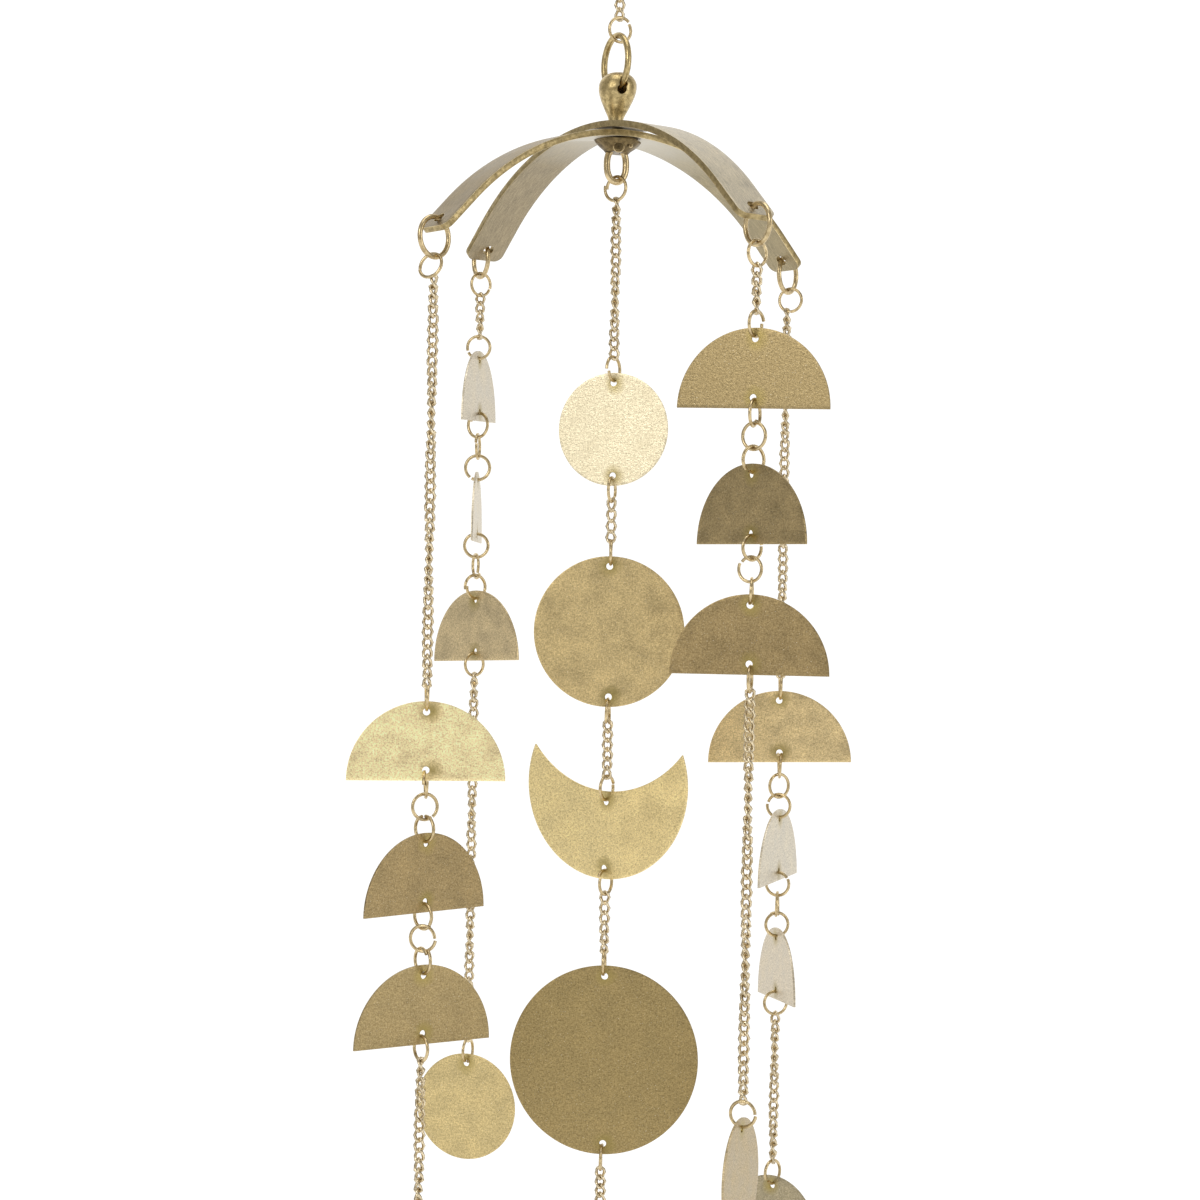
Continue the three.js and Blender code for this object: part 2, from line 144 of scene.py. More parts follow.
def chooseEdges(piece, test):
    pickOnly(piece)
    bpy.ops.object.mode_set(mode="EDIT")
    bpy.ops.mesh.select_mode(type="EDGE")
    bpy.ops.mesh.select_all(action="DESELECT")
    bpy.ops.object.mode_set(mode="OBJECT")
    spots = [v.co for v in piece.data.vertices]
    for edge in piece.data.edges:
        edge.select = test(spots[edge.vertices[0]], spots[edge.vertices[1]])
    bpy.ops.object.mode_set(mode="EDIT")


def chooseVerts(piece, test):
    pickOnly(piece)
    bpy.ops.object.mode_set(mode="EDIT")
    bpy.ops.mesh.select_mode(type="VERT")
    bpy.ops.mesh.select_all(action="DESELECT")
    bpy.ops.object.mode_set(mode="OBJECT")
    for vertex in piece.data.vertices:
        vertex.select = test(vertex.co)
    bpy.ops.object.mode_set(mode="EDIT")


def cut(piece, tool, how="DIFFERENCE"):
    applyModifier(piece, "BOOLEAN", operation=how, object=tool, solver="EXACT")
    bpy.data.objects.remove(tool)


def copyAt(model, name, place):
    piece = model.copy()
    piece.data = model.data.copy()
    piece.name = name
    bpy.context.collection.objects.link(piece)
    piece.data.transform(place)
    return piece


def joinAs(name, pieces):
    bpy.ops.object.select_all(action="DESELECT")
    for piece in pieces:
        piece.select_set(True)
    bpy.context.view_layer.objects.active = pieces[0]
    bpy.ops.object.join()
    pieces[0].name = name
    return pieces[0]


def standAt(x, y, z, yaw=0.0, tilt=0.0):
    turn = Matrix.Rotation(math.radians(yaw), 4, "Z") @ Matrix.Rotation(math.radians(tilt), 4, "Y")
    return Matrix.Translation(Vector((x, y, z)) * mm) @ turn


def placeFor(piece, node):
    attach(piece, "root")
    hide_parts(node)

def finishPiece(piece, material, node):
    piece.data.materials.clear()
    piece.data.materials.append(material)
    placeFor(piece, node)


def cleanMesh(piece):
    pickOnly(piece)
    bpy.ops.object.mode_set(mode="EDIT")
    bpy.ops.mesh.select_all(action="SELECT")
    bpy.ops.mesh.remove_doubles(threshold=1e-6)
    bpy.ops.mesh.normals_make_consistent(inside=False)
    bpy.ops.object.mode_set(mode="OBJECT")

def bendWire(name, points, radius, closed, sides=2):
    # a round wire bent along points, closed or with flat ends
    curve = bpy.data.curves.new(name, "CURVE")
    curve.dimensions = "3D"
    curve.bevel_depth = radius * mm
    curve.bevel_resolution = sides
    curve.use_fill_caps = not closed
    spline = curve.splines.new("POLY")
    spline.points.add(len(points) - 1)
    for spot, (x, y, z) in zip(spline.points, points):
        spot.co = (x * mm, y * mm, z * mm, 1)
    spline.use_cyclic_u = closed
    wire = bpy.data.objects.new(name, curve)
    bpy.context.collection.objects.link(wire)
    pickOnly(wire)
    bpy.ops.object.convert(target="MESH")
    wire = bpy.context.object
    cleanMesh(wire)
    bpy.ops.object.shade_smooth_by_angle(angle=math.radians(50))
    return wire


def turnedPart(name, profile, steps):
    # the profile turned round the upright axis
    mesh = bpy.data.meshes.new(name)
    spots = [(r * mm, 0, z * mm) for r, z in profile]
    mesh.from_pydata(spots, [(step, step + 1) for step in range(len(spots) - 1)], [])
    part = bpy.data.objects.new(name, mesh)
    bpy.context.collection.objects.link(part)
    applyModifier(part, "SCREW", axis="Z", angle=2 * math.pi, steps=steps, render_steps=steps,
                  use_merge_vertices=True, merge_threshold=1e-6)
    cleanMesh(part)
    return part


def rod(name, radius, length, place, sides=32):
    bpy.ops.object.select_all(action="DESELECT")
    bpy.ops.mesh.primitive_cylinder_add(vertices=sides, radius=radius * mm, depth=length * mm)
    tool = bpy.context.object
    tool.name = name
    tool.data.transform(place)
    return tool


def nodeKit(name):
    material = bpy.data.materials.new(name)
    material.use_nodes = True
    nodes = material.node_tree.nodes
    links = material.node_tree.links
    shader = nodes["Principled BSDF"]
    shader.inputs["Metallic"].default_value = 1.0

    def add(kind, **values):
        node = nodes.new(kind)
        for key, value in values.items():
            if key.startswith("in_"):
                spot = key[3:]
                node.inputs[int(spot) if spot.isdigit() else spot.replace("_", " ")].default_value = value
            else:
                setattr(node, key, value)
        return node

    return material, shader, add, links.new


def noiseField(add, link, space, scale, detail, low, high, stretch=(1, 1, 1), shift=(0, 0, 0), rough=0.55):
    mapping = add("ShaderNodeMapping")
    mapping.inputs["Location"].default_value = shift
    mapping.inputs["Scale"].default_value = stretch
    link(space, mapping.inputs["Vector"])
    noise = add("ShaderNodeTexNoise", in_Scale=scale, in_Detail=detail, in_Roughness=rough)
    link(mapping.outputs[0], noise.inputs["Vector"])
    spread = add("ShaderNodeMapRange", in_1=low, in_2=high)
    link(noise.outputs["Fac"], spread.inputs[0])
    return spread.outputs[0]


def mathOf(add, link, operation, first, second):
    node = add("ShaderNodeMath", operation=operation)
    for place, value in enumerate((first, second)):
        if isinstance(value, (int, float)):
            node.inputs[place].default_value = value
        else:
            link(value, node.inputs[place])
    return node.outputs[0]


def weighted(add, link, *parts):
    # the sum of some fields, each times its weight
    fields = [mathOf(add, link, "MULTIPLY", field, weight) for field, weight in parts]
    total = fields[0]
    for field in fields[1:]:
        total = mathOf(add, link, "ADD", total, field)
    return total

def roughBy(shader, add, link, field, low, high):
    rough = add("ShaderNodeMapRange", in_3=low, in_4=high)
    link(field, rough.inputs[0])
    link(rough.outputs[0], shader.inputs["Roughness"])

def embossBy(shader, add, link, height, strength, depth):
    bump = add("ShaderNodeBump", in_Strength=strength, in_Distance=depth)
    link(height, bump.inputs["Height"])
    link(bump.outputs[0], shader.inputs["Normal"])

def distanceTo(add, link, sheet, x, y):
    # the sheet map's unit is 100 mm, and its middle is at a half
    away = add("ShaderNodeVectorMath", operation="DISTANCE")
    away.inputs[1].default_value = (0.5 + x / 100, 0.5 + y / 100, 0)
    link(sheet, away.inputs[0])
    return away.outputs["Value"]

def fadeFrom(add, link, reach, near, far, most):
    # most of a tint up to near, and none of it past far
    fade = add("ShaderNodeMapRange", in_1=near, in_2=far, in_3=most, in_4=0.0)
    link(reach, fade.inputs[0])
    return fade.outputs[0]

def mixColour(add, link, amount, first, second, blend="MIX"):
    node = add("ShaderNodeMix", data_type="RGBA", blend_type=blend)
    if isinstance(amount, (int, float)):
        node.inputs[0].default_value = amount
    else:
        link(amount, node.inputs[0])
    for place, value in ((6, first), (7, second)):
        if isinstance(value, tuple):
            node.inputs[place].default_value = (*value, 1)
        else:
            link(value, node.inputs[place])
    return node.outputs[2]


def shaded(colour, amount):
    return tuple(channel * amount for channel in colour)


# sheet brass: a sandy grain, soft clouds, faint brushing, painted glints of light, and tarnish round the holes
plateFinish = {
    "grain": 200, "clouds": 13, "brush": 26, "brushShare": 0.3, "cloudDepth": 0.2, "gain": 1.22,
    "gritDark": (0.52, 0.51, 0.49), "gritLight": (1.09, 1.10, 1.12), "paintedGlint": (1.0, 0.92, 0.72),
    "tarnish": (0.40, 0.31, 0.10), "tarnishReach": 3.2, "smooth": 0.33, "dull": 0.52,
}

def plateBrass(name, colour, holes, seed, contrast=1.0, scratches=0.0, smudge=0.5):
    # holes are heights on the plate, and smudge is how far to the right of them the tarnish lies
    material, shader, add, link = nodeKit(name)
    sheet = add("ShaderNodeUVMap", uv_map="sheetMap").outputs[0]
    shift = (seed * 3.17, seed * 1.31, 0)
    fine = plateFinish["grain"]
    grain = noiseField(add, link, sheet, fine, 2, 0.3, 0.7, shift=shift, rough=0.6)
    speck = noiseField(add, link, sheet, fine * 0.5, 2, 0.3, 0.7, shift=shift)
    clouds = noiseField(add, link, sheet, plateFinish["clouds"], 4, 0.3, 0.7, shift=shift, rough=0.6)
    lines = noiseField(add, link, sheet, plateFinish["brush"], 3, 0.3, 0.7, stretch=(1.5, 14, 1), shift=shift)
    cloudy = weighted(add, link, (clouds, 1 - plateFinish["brushShare"]), (lines, plateFinish["brushShare"]))
    # colour times the gain holds the plate's own tone together with painted light, the brightness it shows as
    # it is turned to the light
    gain, swing = plateFinish["gain"], plateFinish["cloudDepth"] * contrast
    base = mixColour(add, link, cloudy, shaded(colour, gain * (1 - swing)), shaded(colour, gain * (1 + swing)))
    grit = weighted(add, link, (grain, 0.6), (speck, 0.4))
    gritty = mixColour(add, link, grit, plateFinish["gritDark"], plateFinish["gritLight"])
    base = mixColour(add, link, 1.0, base, gritty, "MULTIPLY")
    # the tiny bright points mixed into the colour are painted glints of light
    paintedGlint = noiseField(add, link, sheet, fine * 1.3, 1, 0.70, 0.76, shift=shift)
    base = mixColour(add, link, mathOf(add, link, "MULTIPLY", paintedGlint, 0.7), base, plateFinish["paintedGlint"])
    for place, hole in enumerate(holes):
        # tarnish fades out unevenly from each hole
        reach = mathOf(add, link, "ADD", distanceTo(add, link, sheet, smudge, hole),
                       mathOf(add, link, "MULTIPLY", clouds, 0.02))
        fade = fadeFrom(add, link, reach, 0.018, 0.02 + plateFinish["tarnishReach"] / 100, 0.85)
        base = mixColour(add, link, fade, base, shaded(plateFinish["tarnish"], 0.85 if place else 1))
    if scratches > 0:
        marks = noiseField(add, link, sheet, 60, 2, 0.66, 0.72, stretch=(8, 0.7, 1), shift=shift)
        base = mixColour(add, link, mathOf(add, link, "MULTIPLY", marks, scratches), base, shaded(colour, 0.45))
    link(base, shader.inputs["Base Color"])
    roughBy(shader, add, link, clouds, plateFinish["smooth"], plateFinish["dull"])
    embossBy(shader, add, link, weighted(add, link, (grain, 1.0), (speck, 0.8)), 0.3, 0.00007)
    return material

def solidBrass(name, light, dark, size, roughness, bumpDepth):
    material, shader, add, link = nodeKit(name)
    place = add("ShaderNodeTexCoord").outputs["Object"]
    blotch = noiseField(add, link, place, 1000 / size, 4, 0.32, 0.68)
    grain = noiseField(add, link, place, 2600, 3, 0.3, 0.7)
    mottle = weighted(add, link, (blotch, 0.65), (grain, 0.35))
    link(mixColour(add, link, mottle, dark, light), shader.inputs["Base Color"])
    roughBy(shader, add, link, mottle, roughness + 0.12, roughness - 0.06)
    embossBy(shader, add, link, mottle, 0.2, bumpDepth)
    return material

def brushedBrass(name, colour, seed, offCentre=None):
    # the brushing runs with the bar; an underside is given offCentre and is paler round the hub
    material, shader, add, link = nodeKit(name)
    sheet = add("ShaderNodeUVMap", uv_map="sheetMap").outputs[0]
    shift = (seed * 2.3, seed * 0.7, 0)
    lines = noiseField(add, link, sheet, 36, 3, 0.32, 0.68, stretch=(0.6, 11, 1), shift=shift, rough=0.6)
    clouds = noiseField(add, link, sheet, 11, 4, 0.3, 0.7, shift=shift)
    grain = noiseField(add, link, sheet, 160, 2, 0.3, 0.7, shift=shift)
    mottle = weighted(add, link, (lines, 0.5), (clouds, 0.25), (grain, 0.25))
    base = mixColour(add, link, mottle, shaded(colour, 0.42), shaded(colour, 1.5))
    if offCentre is not None:
        fade = fadeFrom(add, link, distanceTo(add, link, sheet, -offCentre, 0), 0.15, 0.42, 0.8)
        base = mixColour(add, link, fade, base, (0.62, 0.58, 0.49))
    link(base, shader.inputs["Base Color"])
    roughBy(shader, add, link, clouds, 0.36, 0.52)
    embossBy(shader, add, link, mottle, 0.35, 0.0001)
    return material

# light and dark colour, size of the blotches in mm, roughness, depth of the bumps in metres
wireBrass = solidBrass("wireBrass", (0.82, 0.66, 0.39), (0.33, 0.245, 0.12), 2.0, 0.25, 0.00004)
chainBrass = solidBrass("chainBrass", (1.0, 0.87, 0.62), (0.40, 0.31, 0.18), 1.3, 0.24, 0.00003)
# the cap's brass is set dark so the cap does not show the bright floor it reflects, which is partly painted
# shade
capBrassAndShade = solidBrass("capBrassAndShade", (0.27, 0.195, 0.09), (0.07, 0.05, 0.024), 1.6, 0.32, 0.00010)
castBrass = solidBrass("castBrass", (0.78, 0.61, 0.30), (0.20, 0.145, 0.06), 1.7, 0.29, 0.00014)
# edges and bevels get a paler brass than the faces, which partly paints in the highlight they catch
edgeHighlightBrass = solidBrass("edgeHighlightBrass", (1.0, 0.86, 0.56), (0.62, 0.49, 0.26), 2.2, 0.34, 0.00004)
barEdgeBrass = solidBrass("barEdgeBrass", (0.56, 0.44, 0.22), (0.20, 0.15, 0.07), 1.6, 0.38, 0.00008)


# jump rings and curb chain, in millimetres and degrees
jumpRing = {"radius": 4.1, "wire": 1.1, "steps": 30, "hold": 1.5, "play": 0.45}
curbLink = {
    "halfWidth": 1.42, "straight": 0.62, "wire": 1.25, "twist": -140, "pitch": 3.12, "endRoom": 1.9,
    "turnWander": 5, "sideWander": 0.08, "leanWander": 3,
}


def ringTurns(radius, start, end, steps, sideStep):
    points = []
    for step in range(steps + 1):
        share = step / steps
        angle = math.radians(start + (end - start) * share)
        points.append((radius * math.cos(angle), sideStep * (share - 0.5), radius * math.sin(angle)))
    return points


# each kind of seam, on the ring's right: where the wire starts and ends, and its step sideways
ringSeams = {"shut": (3, 357, 0.25), "stepped": (5, 355, 0.8), "lapped": (-7, 369, 1.15)}
ringModels = {}
for kind, (start, end, sideStep) in ringSeams.items():
    turns = ringTurns(jumpRing["radius"], start, end, jumpRing["steps"], sideStep)
    ringModels[kind] = bendWire(kind + "Ring", turns, jumpRing["wire"] / 2, False)
ringOrder = ["shut", "stepped", "lapped", "shut", "stepped"]


def makeLinkModel():
    bpy.ops.object.select_all(action="DESELECT")
    bpy.ops.mesh.primitive_torus_add(major_segments=12, minor_segments=5, rotation=(quarterTurn, 0, 0),
                                     major_radius=curbLink["halfWidth"] * mm,
                                     minor_radius=curbLink["wire"] / 2 * mm)
    link = bpy.context.object
    link.name = "linkModel"
    settle(link)
    for side in (1, -1):
        chooseVerts(link, lambda spot: spot.z * side > 0.1 * mm)
        bpy.ops.transform.translate(value=(0, 0, side * curbLink["straight"] * mm))
        bpy.ops.object.mode_set(mode="OBJECT")
    applyModifier(link, "SIMPLE_DEFORM", deform_method="TWIST", deform_axis="Z",
                  angle=math.radians(curbLink["twist"]))
    pickOnly(link)
    bpy.ops.object.shade_smooth()
    return link


linkModel = makeLinkModel()
ringCount = [0]


def placeRing(x, y, z, yaw, seam=None, model=None, tip=0.0, radius=None):
    # seam is the angle of the ring's joint in its own plane, counted from its right side
    ringCount[0] += 1
    model = model or ringOrder[ringCount[0] % len(ringOrder)]
    seam = seam if seam is not None else (ringCount[0] * 137) % 360
    place = standAt(x, y, z, yaw) @ Matrix.Rotation(math.radians(tip), 4, "X")
    size = (radius or jumpRing["radius"]) / jumpRing["radius"]
    place = place @ Matrix.Diagonal((size, 1, size, 1))
    return copyAt(ringModels[model], "ringPart", place @ Matrix.Rotation(math.radians(-seam), 4, "Y"))


def placeLinks(x, y, topZ, bottomZ, flatZ, halfTurn):
    # the links turn a little from each to the next, and face the front at flatZ
    count = max(1, round((topZ - bottomZ - curbLink["endRoom"]) / curbLink["pitch"]))
    half = curbLink["halfWidth"] + curbLink["straight"] + curbLink["wire"] / 2
    pitch = (topZ - bottomZ - 2 * half) / max(1, count - 1)
    chance = random.Random(int(abs(flatZ) * 10))
    turn, side, lean = curbLink["turnWander"], curbLink["sideWander"], curbLink["leanWander"]
    links = []
    for step in range(count):
        z = topZ - half - step * pitch
        yaw = 180 * (z - flatZ) / halfTurn + chance.uniform(-turn, turn)
        spot = (x + chance.uniform(-side, side), y + chance.uniform(-side, side), z)
        links.append(copyAt(linkModel, "linkPart", standAt(*spot, yaw, chance.uniform(-lean, lean))))
    return links

def hangChain(name, node, x, y, upper, lower, turn):
    # upper and lower give each end ring's centre height and yaw
    reach = jumpRing["radius"] - jumpRing["hold"]
    pieces = placeLinks(x, y, upper["z"] - reach, lower["z"] + reach, turn["flatZ"], turn["halfTurn"])
    for link in pieces:
        link.data.materials.append(chainBrass)
    rings = [placeRing(x + end.get("shift", 0), y, end["z"], end["yaw"], end.get("seam"), end.get("model"),
                       end.get("tip", 0.0)) for end in (upper, lower)]
    for ring in rings:
        ring.data.materials.append(wireBrass)
    placeFor(joinAs(name, pieces + rings), node)


# the flat plates, in millimetres
sheetBrass = {"thickness": 0.7, "holeR": 1.15, "inset": 3.4, "largeInset": 3.6, "edge": 0.28, "warp": 0.18}
discSizes = {"small": 19.05, "end": 19.05, "medium": 25.4, "large": 31.75}
halfMoonR = 25.4
crescentCut = {"outer": 31.75, "inner": 37.75, "lift": 35.6}
inset, largeInset = sheetBrass["inset"], sheetBrass["largeInset"]
# heights of the holes, from the top of a disc or half-moon, or from the middle of the crescent's outer edge
plateHoles = {
    "halfMoon": [-inset, inset - halfMoonR],
    "small": [-inset, inset - 2 * discSizes["small"]],
    "end": [-inset],
    "medium": [-inset, inset - 2 * discSizes["medium"]],
    "large": [-largeInset, largeInset - 2 * discSizes["large"]],
    "crescent": [crescentCut["lift"] - crescentCut["inner"] - largeInset, largeInset - crescentCut["outer"]],
}


def slab(name, width, top, bottom, step=1.1):
    # a thin upright grid of brass sheet, x across and z up
    height = top - bottom
    bpy.ops.object.select_all(action="DESELECT")
    bpy.ops.mesh.primitive_grid_add(x_subdivisions=int(width / step), y_subdivisions=int(height / step), size=1)
    sheet = bpy.context.object
    sheet.name = name
    sheet.scale = (width * mm, height * mm, 1)
    sheet.rotation_euler = (quarterTurn, 0, 0)
    sheet.location = (0, 0, (top + bottom) / 2 * mm)
    settle(sheet)
    applyModifier(sheet, "SOLIDIFY", thickness=sheetBrass["thickness"] * mm, offset=0)
    return sheet


def drill(sheet, radius, z, sides=28, how="DIFFERENCE"):
    cut(sheet, rod("drillTool", radius, 6, standAt(0, 0, z) @ Matrix.Rotation(quarterTurn, 4, "X"), sides), how)


def finishSheet(sheet):
    applyModifier(sheet, "BEVEL", width=sheetBrass["edge"] * mm, segments=2, limit_method="ANGLE",
                  angle_limit=math.radians(50))
    pickOnly(sheet)
    bpy.ops.object.shade_smooth_by_angle(angle=math.radians(30))
    layer = sheet.data.uv_layers.new(name="sheetMap")
    for loop in sheet.data.loops:
        spot = sheet.data.vertices[loop.vertex_index].co
        layer.data[loop.index].uv = (0.5 + spot.x / mm / 100, 0.5 + spot.z / mm / 100)
    for polygon in sheet.data.polygons:
        polygon.material_index = 0 if abs(polygon.normal.y) > 0.97 else 1
    return sheet


def drillHoles(sheet, shape):
    for hole in plateHoles[shape]:
        drill(sheet, sheetBrass["holeR"], hole)

def discModel(shape):
    radius = discSizes[shape]
    sheet = slab(shape + "DiscModel", 2 * radius + 4, 2, -2 * radius - 2)
    drill(sheet, radius, -radius, 128, "INTERSECT")
    drillHoles(sheet, shape)
    return finishSheet(sheet)

def halfMoonModel():
    sheet = slab("halfMoonModel", 2 * halfMoonR + 4, 2, -halfMoonR)
    drill(sheet, halfMoonR, -halfMoonR, 160, "INTERSECT")
    drillHoles(sheet, "halfMoon")
    return finishSheet(sheet)

def crescentModel():
    sheet = slab("crescentModel", 66, 14, -34)
    drill(sheet, crescentCut["outer"], 0, 180, "INTERSECT")
    drill(sheet, crescentCut["inner"], crescentCut["lift"], 200)
    drillHoles(sheet, "crescent")
    return finishSheet(sheet)

def warpSheet(sheet, seed, depth):
    # hand-cut sheet is never quite flat
    chance = random.Random(seed)
    waves = []
    for _ in range(3):
        waves.append((chance.uniform(0.05, 0.12), chance.uniform(0, math.pi), chance.uniform(0, 6.28)))
    for vertex in sheet.data.vertices:
        x, z = vertex.co.x / mm, vertex.co.z / mm
        rise = sum(math.sin(rate * (x * math.cos(way) + z * math.sin(way)) + phase)
                   for rate, way, phase in waves)
        vertex.co.y += depth * rise / len(waves) * mm


def hangPlate(name, node, model, place, material, seed):
    plate = copyAt(model, name, Matrix.Identity(4))
    warpSheet(plate, seed, sheetBrass["warp"])
    plate.data.transform(place)
    plate.data.materials.clear()
    plate.data.materials.append(material)
    # the plate's edges take the paler edge brass, partly painted highlight
    plate.data.materials.append(edgeHighlightBrass)
    placeFor(plate, node)


addCamera()
addLamps()
addStage()
print("stage ready")

models = {
    "halfMoon": halfMoonModel(),
    "small": discModel("small"),
    "end": discModel("end"),
    "medium": discModel("medium"),
    "large": discModel("large"),
    "crescent": crescentModel(),
}
print("plate shapes cut")


# the hub: rings, finial, arched bars and cap
hub = {
    "hookRadius": 7.2, "hookWire": 1.6, "hookZ": -6.4,
    "heavyRadius": 9.1, "heavyWire": 2.2, "heavyX": -0.9, "heavyZ": -44.0, "heavyYaw": -64,
    "finialHoleX": -1.7, "finialHoleZ": -53.85, "finialHoleR": 1.6,
    "leanFrom": -64.08, "leanFoot": -64.0, "leanShift": -0.75, "leanSlope": 0.045, "wearX": 0.5, "wearZ": 1.9,
    "capTop": -70.95, "capTilt": 3.0,
    "capLinkX": -0.25, "capLinkZ": -78.4, "capLinkYaw": 20, "capLinkRadius": 3.4, "capLinkStretch": 2.35,
    "capLinkWire": 2.28,
}
# radius and height of the turned finial, from its stem up
finialProfile = [
    (0, -70.9), (1.85, -70.9), (1.85, -64.1), (2.5, -64.05), (2.5, -63.2), (2.75, -62.3), (3.3, -61.2),
    (3.75, -60.3), (4.15, -59.5), (4.65, -58.4), (5.25, -57.1), (5.6, -56.2), (5.95, -55.2),
    (6.3, -53.8), (6.4, -52.5),
    (6.3, -51.2), (5.9, -50.1), (5.1, -49.0), (4.0, -48.15), (2.7, -47.6), (1.3, -47.3), (0, -47.25),
]
# radius of the cap and height from its top
capProfile = [
    (0, -3.5), (4.0, -3.5), (4.25, -3.2), (4.7, -2.7), (5.4, -2.2), (6.3, -1.5), (7.0, -0.8), (7.6, -0.1),
    (7.9, 0.35), (7.9, 0.55), (7.1, 0.65), (6.9, 1.3), (0, 1.3),
]
# the round recess in the cap's front with its rim, and the small pin beside it
capFront = {
    "hollows": [(1.6, (0.55, -5.6, -2.1), 28), (0.45, (3.7, -5.2, -1.4), 16)],
    "rims": [(1.75, 0.24, (0.55, -5.3, -2.1)), (0.5, 0.22, (4.5, -4.55, -1.4))],
}
# near and far are the holes in a bar's ends: how far out, and how far off its middle line
bars = {
    "width": 15.0, "thickness": 2.1, "radius": 93.7, "holeR": 2.0, "endPast": 4.7, "corner": 3.0,
    "lower": {
        "turn": 38.8, "crown": -68.6, "bend": 45.3, "offCentre": 2.7,
        "near": {"side": -1, "out": 74.35, "across": 0.6}, "far": {"side": 1, "out": 73.05, "across": -0.6},
        "topBrass": ((0.37, 0.30, 0.19), 8), "underBrass": ((0.38, 0.32, 0.20), 9),
    },
    "upper": {
        "turn": 127.0, "crown": -65.45, "bend": 44.2, "offCentre": 3.9,
        "near": {"side": -1, "out": 74.1, "across": -0.1}, "far": {"side": 1, "out": 72.7, "across": -0.1},
        "topBrass": ((0.58, 0.515, 0.39), 3), "underBrass": ((0.36, 0.30, 0.20), 5),
    },
}


def wholeRing(name, radius, wireR, steps, sides=4):
    points = ringTurns(radius, 0, 360 * (steps - 1) / steps, steps - 1, 0)
    return bendWire(name, points, wireR, True, sides)


def makeHubRings():
    hook = wholeRing("hangingRing", hub["hookRadius"], hub["hookWire"] / 2, 64)
    hook.data.transform(standAt(0, 0, hub["hookZ"]))
    finishPiece(hook, wireBrass, "hanging_ring")
    heavy = wholeRing("heavyRing", hub["heavyRadius"], hub["heavyWire"] / 2, 72)
    heavy.data.transform(standAt(hub["heavyX"], 0, hub["heavyZ"], hub["heavyYaw"]))
    finishPiece(heavy, castBrass, "heavy_ring")


def makeFinial():
    finial = turnedPart("finialKnob", finialProfile, 56)
    # the knob leans a little on its stem
    for vertex in finial.data.vertices:
        if vertex.co.z > hub["leanFrom"] * mm:
            vertex.co.x += hub["leanShift"] * mm + hub["leanSlope"] * (vertex.co.z - hub["leanFoot"] * mm)
    # the ring has worn the cross hole upward, so it is drilled twice
    holeX, holeZ, holeR = hub["finialHoleX"], hub["finialHoleZ"], hub["finialHoleR"]
    for x, z, radius in ((holeX, holeZ, holeR), (holeX + hub["wearX"], holeZ + hub["wearZ"], holeR - 0.15)):
        place = standAt(x, 0, z, hub["heavyYaw"]) @ Matrix.Rotation(quarterTurn, 4, "Y")
        cut(finial, rod("finialDrill", radius, 30, place, 32))
    tunnel = wholeRing("finialTunnel", hub["heavyRadius"], hub["heavyWire"] / 2 + 0.25, 40, 2)
    tunnel.data.transform(standAt(hub["heavyX"], 0, hub["heavyZ"], hub["heavyYaw"]))
    cut(finial, tunnel)
    applyModifier(finial, "BEVEL", width=0.25 * mm, segments=2, limit_method="ANGLE",
                  angle_limit=math.radians(55))
    pickOnly(finial)
    bpy.ops.object.shade_smooth_by_angle(angle=math.radians(40))
    finishPiece(finial, castBrass, "finial")


def ovalPoints(radius, stretch, steps):
    points = []
    for step in range(steps):
        angle = 2 * math.pi * (step + 0.5) / steps
        lift = math.sin(angle)
        rise = math.copysign(stretch * abs(lift) ** 0.6, lift)
        points.append((radius * math.cos(angle), 0, radius * lift + rise))
    return points


def makeCap():
    cap = turnedPart("conicalCap", capProfile, 56)
    cut(cap, rod("capBore", 2.2, 0.7, Matrix.Identity(4), 24))
    for radius, spot, sides in capFront["hollows"]:
        cut(cap, rod("capHollow", radius, 2, standAt(*spot) @ Matrix.Rotation(quarterTurn, 4, "X"), sides))
    rims = []
    for radius, wireR, spot in capFront["rims"]:
        rims.append(wholeRing("capRim", radius, wireR, 32, 2))
        rims[-1].data.transform(standAt(*spot))
    for part in (cap, *rims):
        part.data.transform(standAt(0, 0, hub["capTop"], 0, hub["capTilt"]))
    # its top is seated against the lower bar
    lower = bars["lower"]
    seat = standAt(0, 0, lower["crown"] - bars["radius"], lower["turn"])
    seat = seat @ Matrix.Translation((lower["offCentre"] * mm, 0, 0)) @ Matrix.Rotation(quarterTurn, 4, "X")
    cut(cap, rod("capSeat", bars["radius"] - bars["thickness"] / 2 - 0.1, 30, seat, 720), "INTERSECT")
    points = ovalPoints(hub["capLinkRadius"], hub["capLinkStretch"], 32)
    tunnel = bendWire("capTunnel", points, hub["capLinkWire"] / 2 + 0.3, True, 2)
    tunnel.data.transform(standAt(hub["capLinkX"], 0, hub["capLinkZ"], hub["capLinkYaw"]))
    cut(cap, tunnel)
    applyModifier(cap, "BEVEL", width=0.15 * mm, segments=2, limit_method="ANGLE", angle_limit=math.radians(55))
    pickOnly(cap)
    bpy.ops.object.shade_smooth_by_angle(angle=math.radians(35))
    cap.data.materials.append(capBrassAndShade)
    for rim in rims:
        rim.data.materials.append(wireBrass)
    placeFor(joinAs("conicalCap", [cap, *rims]), "bottom_cap")
    points = ovalPoints(hub["capLinkRadius"], hub["capLinkStretch"], 48)
    link = bendWire("capLink", points, hub["capLinkWire"] / 2, True, 4)
    link.data.transform(standAt(hub["capLinkX"], 0, hub["capLinkZ"], hub["capLinkYaw"]))
    finishPiece(link, wireBrass, "cap_link")


